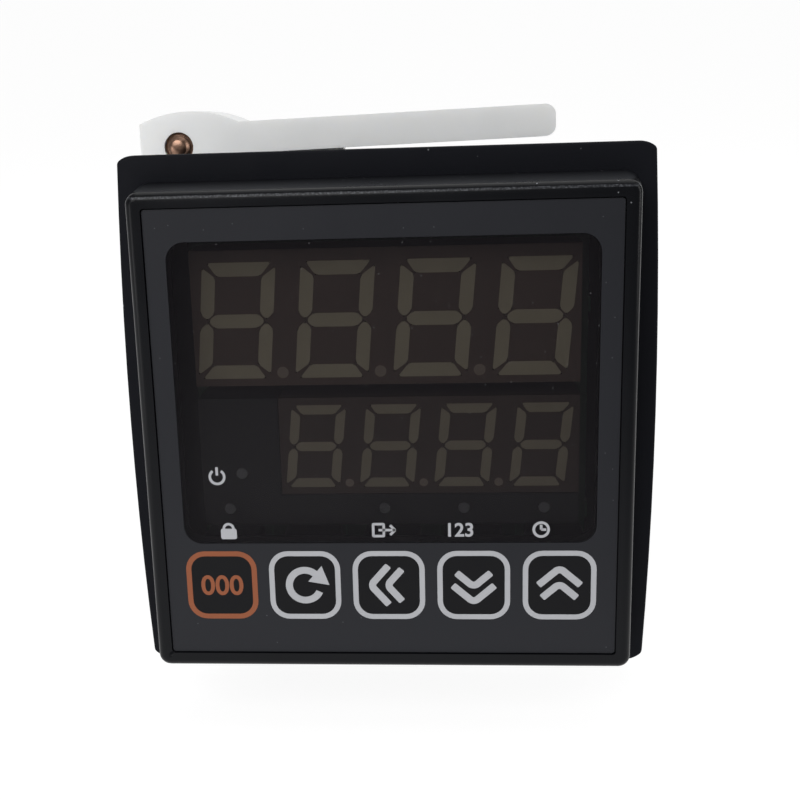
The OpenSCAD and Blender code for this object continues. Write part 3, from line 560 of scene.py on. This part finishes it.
def show(bm, name, body, material):
    """Makes a piece of a bmesh, smooth between its sharp edges, and lets it ride on a body"""
    mesh = bpy.data.meshes.new(name)
    bm.to_mesh(mesh)
    bm.free()
    mesh.polygons.foreach_set("use_smooth", [True] * len(mesh.polygons))
    mesh.set_sharp_from_angle(angle=SHARP)
    mesh.materials.append(material)
    piece = bpy.data.objects.new(name, mesh)
    scene.collection.objects.link(piece)
    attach(piece, body)
    return piece


def merged(node):
    """A copy of a solid's mesh, with its loose triangles joined to whole flat faces"""
    bm = bmesh.new()
    bm.from_mesh(frame["nodes"][node].data)
    bmesh.ops.remove_doubles(bm, verts=bm.verts, dist=TINY)
    bmesh.ops.dissolve_limit(bm, angle_limit=FLAT_WITHIN, verts=bm.verts, edges=bm.edges)
    return bm


def round_edges(bm, edges, radius_mm):
    """Rounds some edges of a copied solid"""
    bmesh.ops.bevel(bm, geom=edges, offset=radius_mm * MM, offset_type="OFFSET", segments=EDGE_SEGMENTS,
                    profile=0.5, affect="EDGES", clamp_overlap=True, material=-1)


def soften(node, body, material, radius_mm, shortest_mm):
    """Replaces a solid by a copy with its outer edges rounded"""
    bm = merged(node)
    outer = [e for e in bm.edges if len(e.link_faces) == 2 and e.calc_face_angle_signed() > SHARP
             and e.calc_length() > shortest_mm * MM]
    round_edges(bm, outer, radius_mm)
    bmesh.ops.remove_doubles(bm, verts=bm.verts, dist=TINY)
    bmesh.ops.dissolve_degenerate(bm, dist=TINY, edges=bm.edges)
    piece = show(bm, node + "_moulded", body, material)
    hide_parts(node)
    print(node, "edges rounded:", len(outer), "faces:", len(piece.data.polygons))


soften("clamp_frame", "clamp", nylon, radius_mm=0.35, shortest_mm=1.5)
soften("panel_gasket", "instrument", rubber, radius_mm=0.4, shortest_mm=0.2)
soften("terminal_block", "instrument", phenolic, radius_mm=0.15, shortest_mm=1.0)
soften("front_bezel", "instrument", frame_abs, radius_mm=0.12, shortest_mm=5.0)

# %% [markdown]
# ## Bars of the displays
# Each bar of a digit is resin cast into a slot of the display, and its ends are blunt, not pointed.
# The edges that run from front to back get a bevel. The decimal points are the only round faces in
# the mesh, so they are found by their number of corners and take the second material.

# %% Bars and points
POINT_CORNERS = 10
ALONG_Y = 0.99


def round_bars(node, radius_mm, bars):
    """Replaces the bars of a display by a copy with blunt ends and darker points"""
    bm = merged(node)
    for face in [f for f in bm.faces if len(f.verts) > POINT_CORNERS]:
        for side in {side for vert in face.verts for side in vert.link_faces}:
            side.material_index = 1
    corners = [e for e in bm.edges if e.calc_face_angle() > SHARP
               and abs((e.verts[0].co - e.verts[1].co).normalized().y) > ALONG_Y]
    round_edges(bm, corners, radius_mm)
    piece = show(bm, node + "_cast", "instrument", bars)
    piece.data.materials.append(point_resin)
    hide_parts(node)
    print(node, "corners rounded:", len(corners), "faces:", len(piece.data.polygons))


round_bars("count_segments", radius_mm=0.36, bars=bar_resin)
round_bars("preset_segments", radius_mm=0.27, bars=shaded_lower_bar_resin)

# %% [markdown]
# ## Prints on the front
# The key outlines and signs are screen printed: flat ink with crisp edges. Each print is drawn flat,
# in millimetres, then raised by a hair so that it is a closed body, and turned to lie on the film. The
# signs are plain ones of no maker: arrows, digits, a lock, a clock. Most are made of straight and round
# strokes, and of plates with round corners.

# %% Strokes and plates
ARC_STEP = radians(6)
CORNER_SEGMENTS = 8


def rectangle(bm, centre, width, height, turn=0):
    """A rectangle about a point"""
    made = bmesh.ops.create_grid(bm, x_segments=1, y_segments=1, size=0.5)["verts"]
    bmesh.ops.scale(bm, verts=made, vec=(width, height, 1))
    bmesh.ops.rotate(bm, verts=made, matrix=Matrix.Rotation(turn, 3, "Z"))
    bmesh.ops.translate(bm, verts=made, vec=(centre[0], centre[1], 0))
    return made


def bar(bm, first, last, stroke):
    """A straight stroke from one point to another"""
    way = Vector(last) - Vector(first)
    rectangle(bm, (Vector(first) + Vector(last)) / 2, way.length, stroke, atan2(way.y, way.x))


def arc(bm, centre, radius, stroke, first=0, sweep=360):
    """A round stroke, spun from a short line across it, with its angles in degrees"""
    way = Vector((cos(radians(first)), sin(radians(first)), 0))
    hub = Vector((centre[0], centre[1], 0))
    ends = [bm.verts.new(hub + way * (radius + side * stroke / 2)) for side in (-1, 1)]
    line = bm.edges.new(ends)
    bmesh.ops.spin(bm, geom=ends + [line], cent=hub, axis=(0, 0, 1), angle=radians(sweep),
                   steps=round(radians(sweep) / ARC_STEP), use_merge=sweep == 360)


def plate(bm, centre, width, height, corner, stroke=0):
    """A plate with round corners, or only its outline when a stroke is given"""
    made = rectangle(bm, centre, width, height)
    rounded = bmesh.ops.bevel(bm, geom=made, offset=corner, segments=CORNER_SEGMENTS, profile=0.5,
                              affect="VERTICES", material=-1)
    face = rounded["verts"][0].link_faces[0]
    if stroke:
        bmesh.ops.inset_individual(bm, faces=[face], thickness=stroke, use_even_offset=True)
        bmesh.ops.delete(bm, geom=[face], context="FACES")


print("Flat shapes: rectangle, bar, arc, plate")

# %% [markdown]
# A chevron is a bent bar. Two crossed bars would leave a notch at its tip, so its bend is spun first and
# both arms are drawn out of the ends of the bend. An arrow head is a triangle.

# %% Chevrons and arrow heads
CHEVRON_LEAN = radians(41)
CHEVRON_STROKE = 0.72
CHEVRON_BEND = 0.22
STROKE_CORNER = 0.14


def join(bm, other):
    """Adds one bmesh to another and frees it"""
    mesh = bpy.data.meshes.new("joined")
    other.to_mesh(mesh)
    other.free()
    bm.from_mesh(mesh)
    bpy.data.meshes.remove(mesh)


def chevron(bm, centre, tip, half, turn):
    """A bent bar that points up before it is turned: both arms are drawn out of a spun bend"""
    part = bmesh.new()
    outer = CHEVRON_BEND + CHEVRON_STROKE
    hub = Vector((0, tip - outer, 0))
    across = Vector((sin(CHEVRON_LEAN), cos(CHEVRON_LEAN), 0))
    ends = [part.verts.new(hub + across * radius) for radius in (CHEVRON_BEND, outer)]
    right_end = part.edges.new(ends)
    spun = bmesh.ops.spin(part, geom=ends + [right_end], cent=hub, axis=(0, 0, 1), angle=2 * CHEVRON_LEAN,
                          steps=round(2 * CHEVRON_LEAN / ARC_STEP))
    left_end = next(e for e in spun["geom_last"] if isinstance(e, bmesh.types.BMEdge))
    reach = half - outer * sin(CHEVRON_LEAN)
    for end, side in ((right_end, 1), (left_end, -1)):
        drawn = bmesh.ops.extrude_edge_only(part, edges=[end])["geom"]
        tips = [v for v in drawn if isinstance(v, bmesh.types.BMVert)]
        bmesh.ops.translate(part, verts=tips, vec=(side * reach, -reach * tan(CHEVRON_LEAN), 0))
        bmesh.ops.bevel(part, geom=tips, offset=STROKE_CORNER, segments=EDGE_SEGMENTS, profile=0.5,
                        affect="VERTICES", material=-1)
    bmesh.ops.rotate(part, verts=part.verts, matrix=Matrix.Rotation(turn, 3, "Z"))
    bmesh.ops.translate(part, verts=part.verts, vec=(centre[0], centre[1], 0))
    join(bm, part)


def arrow_head(bm, base, size, turn):
    """A triangle whose base is at a point and which points along an angle"""
    made = bmesh.ops.create_circle(bm, cap_ends=True, segments=3, radius=size)["verts"]
    ahead = max(made, key=lambda v: v.co.length_squared).co.copy()
    bmesh.ops.rotate(bm, verts=made, matrix=Matrix.Rotation(turn - atan2(ahead.y, ahead.x), 3, "Z"))
    shift = Vector(base) + size / 2 * Vector((cos(turn), sin(turn)))
    bmesh.ops.translate(bm, verts=made, vec=(shift.x, shift.y, 0))


print("Flat shapes: chevron, arrow head")

# %% [markdown]
# Digits come from Blender's built-in font. The text is turned to a mesh before it is placed, so that
# its place is in its mesh. Then every flat print is raised, stood upright and laid on the front.

# %% Digits, and raising a print
SAME_POINT_MM = 0.0005


def digits(bm, text, centre, height, weight=0):
    """Digits in the built-in font, bolder by a weight, turned to a mesh and scaled to their height"""
    curve = bpy.data.curves.new("digits", "FONT")
    curve.body = text
    curve.offset = weight
    holder = bpy.data.objects.new("digits", curve)
    mesh = bpy.data.meshes.new_from_object(holder)
    low, high = [[pick(v.co[i] for v in mesh.vertices) for i in (0, 1)] for pick in (min, max)]
    scale = height / (high[1] - low[1])
    mesh.transform(Matrix.Translation((centre[0], centre[1], 0)) @ Matrix.Scale(scale, 4)
                   @ Matrix.Translation((-(low[0] + high[0]) / 2, -(low[1] + high[1]) / 2, 0)))
    bm.from_mesh(mesh)
    for data in (holder, curve, mesh):
        bpy.data.batch_remove([data])


def raise_flat(bm, height):
    """Turns flat shapes into closed bodies of a small height"""
    bmesh.ops.remove_doubles(bm, verts=bm.verts, dist=SAME_POINT_MM)
    top = bmesh.ops.extrude_face_region(bm, geom=bm.faces[:], use_keep_orig=True)["geom"]
    bmesh.ops.translate(bm, verts=[v for v in top if isinstance(v, bmesh.types.BMVert)], vec=(0, 0, height))
    bmesh.ops.recalc_face_normals(bm, faces=bm.faces)


def ink_print(bm, name, ground, height, material):
    """Raises a flat print, turns it upright and lays it on the front of a solid"""
    raise_flat(bm, height)
    upright = Matrix.Rotation(pi / 2, 4, "X") @ Matrix.Scale(MM, 4)
    bmesh.ops.transform(bm, matrix=upright, verts=bm.verts)
    bmesh.ops.translate(bm, verts=bm.verts, vec=(0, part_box(ground)[0][1], 0))
    piece = show(bm, name, "instrument", material)
    print(name, "faces:", len(piece.data.polygons))


print("Helpers: digits, raise_flat, ink_print")

# %% [markdown]
# The inks are matt. The white is a light grey in the photograph and the reset key is orange.

# %% Inks
white_ink = moulded("white_ink", "#9fa0a4", "#a9aaae", rough=(0.5, 0.6), patch_mm=3)
orange_ink = moulded("orange_ink", "#81421f", "#894823", rough=(0.5, 0.6), patch_mm=3)
black_ink = moulded("black_ink", "#0a0a0d", "#0f0f12", rough=(0.45, 0.55), patch_mm=3,
                    Specular_IOR_Level=0.15)
print("Inks:", white_ink.name, orange_ink.name, black_ink.name)

# %% [markdown]
# The five keys lie under the film, and the print shows where to press. From left to right they reset
# the count (three zeros), change the mode (a turning arrow), step along the digits, and count down and up.

# %% Key prints
OUTLINE_W = 7.2
OUTLINE_H = 7.25
OUTLINE_CORNER = 1.95
OUTLINE_STROKE = 0.53
PRINT_DROP = 0.15
ZEROS_HEIGHT = 2.15
ZEROS_WEIGHT = 0.02
# Height of the tip and half the width of both chevrons of a key
CHEVRONS = ((1.99, 2.31), (0.34, 1.95))
CHEVRON_TURNS = {"shift": 90, "down": 180, "up": 0}
LOOP_RADIUS = 1.6
LOOP_STROKE = 0.72
LOOP_START = 50
LOOP_SWEEP = 285
ARROW = 1.25
FACE_INK = 0.008
INK = 0.016


def middle(node):
    """The middle of a solid seen from the front, in millimetres"""
    low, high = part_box(node)
    return Vector(((low.x + high.x) / 2 / MM, (low.z + high.z) / 2 / MM))


key_at = {key: middle(key + "_key") - Vector((0, PRINT_DROP)) for key in KEYS}
faces = bmesh.new()
white = bmesh.new()
orange = bmesh.new()
for key, at in key_at.items():
    plate(faces, at, OUTLINE_W - OUTLINE_STROKE, OUTLINE_H - OUTLINE_STROKE,
          OUTLINE_CORNER - OUTLINE_STROKE / 2)
    plate(orange if key == "reset" else white, at, OUTLINE_W, OUTLINE_H, OUTLINE_CORNER, OUTLINE_STROKE)

digits(orange, "000", key_at["reset"], ZEROS_HEIGHT, ZEROS_WEIGHT)
arc(white, key_at["mode"], LOOP_RADIUS, LOOP_STROKE, LOOP_START, LOOP_SWEEP)
loop_start = Vector((cos(radians(LOOP_START)), sin(radians(LOOP_START))))
arrow_head(white, key_at["mode"] + LOOP_RADIUS * loop_start, ARROW, radians(LOOP_START) - pi / 2)
for key, turn in CHEVRON_TURNS.items():
    for tip, half in CHEVRONS:
        chevron(white, key_at[key], tip, half, radians(turn))

ink_print(faces, "key_faces", "overlay_film", FACE_INK, black_ink)
ink_print(white, "key_signs", "overlay_film", INK, white_ink)
ink_print(orange, "reset_sign", "overlay_film", INK, orange_ink)

# %% [markdown]
# Small signs stand by the lamps in the window: power, keys locked, output, counting and timing.

# %% Lamp signs
SIGN = 0.26
ROUND_SIGN = 0.72
POWER_GAP = 70
# Heights between which the bar of the power sign runs
POWER_BAR = (0.15, 1.0)
LOCK_W = 1.6
LOCK_H = 1.1
LOCK_DROP = 0.3
SHACKLE = 0.48
BOX_W = 1.3
BOX_H = 1.5
BOX_LEFT = 0.35
ARROW_TIP = 1.3
ARROW_BARB = 0.5
SIGN_CORNER = 0.2
COUNT_HEIGHT = 1.45
COUNT_WEIGHT = 0.022
HAND = 0.5
power_at = Vector((-16.75, -3.75))
lock_at = Vector((-15.9, -9.4))
output_at = Vector((-0.55, -9.35))
count_at = Vector((7.2, -9.35))
timer_at = Vector((15.05, -9.35))
right = Vector((1, 0))
up = Vector((0, 1))

signs = bmesh.new()
arc(signs, power_at, ROUND_SIGN, SIGN, 90 + POWER_GAP / 2, 360 - POWER_GAP)
bar(signs, power_at + up * POWER_BAR[0], power_at + up * POWER_BAR[1], SIGN)
plate(signs, lock_at - up * LOCK_DROP, LOCK_W, LOCK_H, SIGN_CORNER)
arc(signs, lock_at - up * (LOCK_DROP - LOCK_H / 2), SHACKLE, SIGN, 0, 180)
plate(signs, output_at - right * BOX_LEFT, BOX_W, BOX_H, SIGN_CORNER, SIGN)
bar(signs, output_at - right * BOX_LEFT, output_at + right * ARROW_TIP, SIGN)
for side in (-1, 1):
    bar(signs, output_at + right * (ARROW_TIP - ARROW_BARB) + up * side * ARROW_BARB,
        output_at + right * ARROW_TIP, SIGN)
digits(signs, "123", count_at, COUNT_HEIGHT, COUNT_WEIGHT)
arc(signs, timer_at, ROUND_SIGN, SIGN)
bar(signs, timer_at, timer_at + up * HAND, SIGN)
bar(signs, timer_at, timer_at + right * HAND, SIGN)
ink_print(signs, "lamp_signs", "display_filter", INK, white_ink)

# %% [markdown]
# ## Jack screws
# Each screw is an M3 with a rolled thread, a domed tip and a cross head. The head is kept from the
# solid. The shank is turned by spinning its outline about the axis, and the thread is one small
# section spun along a helix.

# %% Shank and thread
PITCH = 0.5
FLAT = 0.05
TURN_STEPS = 32
SHANK_STEPS = 48


def shank(outline):
    """A body spun about the Z axis from an outline of radius and height"""
    bm = bmesh.new()
    verts = [bm.verts.new((r, 0, z)) for r, z in outline]
    edges = [bm.edges.new(pair) for pair in zip(verts, verts[1:])]
    bmesh.ops.spin(bm, geom=verts + edges, cent=(0, 0, 0), axis=(0, 0, 1), angle=2 * pi, steps=SHANK_STEPS,
                   use_merge=True)
    bmesh.ops.remove_doubles(bm, verts=bm.verts, dist=SAME_POINT_MM)
    bmesh.ops.recalc_face_normals(bm, faces=bm.faces)
    return bm


def thread(root, crest, first, last):
    """A ridge spun along a helix between two heights"""
    bm = bmesh.new()
    verts = [bm.verts.new(p) for p in ((root, 0, first - PITCH / 2 + FLAT), (crest, 0, first - FLAT),
                                       (crest, 0, first + FLAT), (root, 0, first + PITCH / 2 - FLAT))]
    section = bm.faces.new(verts)
    turns = round((last - first) / PITCH)
    bmesh.ops.spin(bm, geom=[section] + section.edges[:] + verts, cent=(0, 0, 0), axis=(0, 0, 1),
                   dvec=(0, 0, PITCH / TURN_STEPS), angle=2 * pi * turns, steps=TURN_STEPS * turns)
    bmesh.ops.recalc_face_normals(bm, faces=bm.faces)
    return bm


print("Helpers: shank, thread")

# %% [markdown]
# The head is cut from a merged copy of the solid and closed where it was cut. Head, shank and thread
# reach a little into each other, so no gap shows between them.

# %% Jack screws
THREAD_DEPTH = 0.31
SHANK_RADIUS = 1.5
HEAD_HEIGHT = 2.0
DOME_RADIUS = 0.95
DOME_HEIGHT = 0.32
DOME_STEPS = 6
POINT_HEIGHT = 0.5
THREAD_START = 0.75
THREAD_END = 0.6


def jack_screw(node, body):
    """The head of a plain solid screw with a threaded shank"""
    low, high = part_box(node)
    under = (high.y - low.y) / MM - HEAD_HEIGHT
    core = SHANK_RADIUS - THREAD_DEPTH
    angles = [pi / 2 * step / DOME_STEPS for step in range(DOME_STEPS + 1)]
    dome = [(DOME_RADIUS * sin(angle), DOME_HEIGHT * (1 - cos(angle))) for angle in angles]
    bm = shank(dome + [(core, POINT_HEIGHT), (core, under), (0, under)])
    join(bm, thread(core - FLAT, SHANK_RADIUS, THREAD_START, under - THREAD_END))
    along = Matrix.Translation(((low.x + high.x) / 2, low.y, (low.z + high.z) / 2)) @ Matrix.Rotation(
        -pi / 2, 4, "X") @ Matrix.Scale(MM, 4)
    bmesh.ops.transform(bm, matrix=along, verts=bm.verts)
    head = bmesh.new()
    head.from_mesh(frame["nodes"][node].data)
    bmesh.ops.remove_doubles(head, verts=head.verts, dist=TINY)
    seat = (0, high.y - (HEAD_HEIGHT + FLAT) * MM, 0)
    bmesh.ops.bisect_plane(head, geom=head.verts[:] + head.edges[:] + head.faces[:], plane_co=seat,
                           plane_no=(0, 1, 0), clear_inner=True)
    bmesh.ops.holes_fill(head, edges=[e for e in head.edges if e.is_boundary])
    join(bm, head)
    piece = show(bm, node + "_threaded", body, browned)
    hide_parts(node)
    print(node, "faces:", len(piece.data.polygons))


jack_screw("upper_jack_screw", "upper_screw")
jack_screw("lower_jack_screw", "lower_screw")

# %% [markdown]
# ## Terminal numbers
# The terminals are numbered with raised digits on the spine between the two columns, as a mould
# leaves them. They are read from behind, so they are turned half round about the upright axis.

# %% Terminal numbers
NUMBER_HEIGHT = 2.2
NUMBER_RAISED = 0.15
SPINE_STEP = 1.0
NUMBER_X = 4.6
TERMINAL_PITCH = 6.6
ROWS = 6

numbers = bmesh.new()
for row in range(ROWS):
    z = ((ROWS - 1) / 2 - row) * TERMINAL_PITCH
    digits(numbers, str(row + 1), (-NUMBER_X, z), NUMBER_HEIGHT)
    digits(numbers, str(row + 1 + ROWS), (NUMBER_X, z), NUMBER_HEIGHT)
raise_flat(numbers, NUMBER_RAISED)
spine_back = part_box("terminal_block")[1][1] - SPINE_STEP * MM
turned = Matrix.Rotation(pi, 4, "Z") @ Matrix.Rotation(pi / 2, 4, "X") @ Matrix.Scale(MM, 4)
bmesh.ops.transform(numbers, matrix=turned, verts=numbers.verts)
bmesh.ops.translate(numbers, verts=numbers.verts, vec=(0, spine_back, 0))
show(numbers, "terminal_numbers", "instrument", phenolic)
print("Terminal numbers:", 2 * ROWS)

# %% [markdown]
# ## End
# The counter is dressed.

# %% Finish
print("Finished")
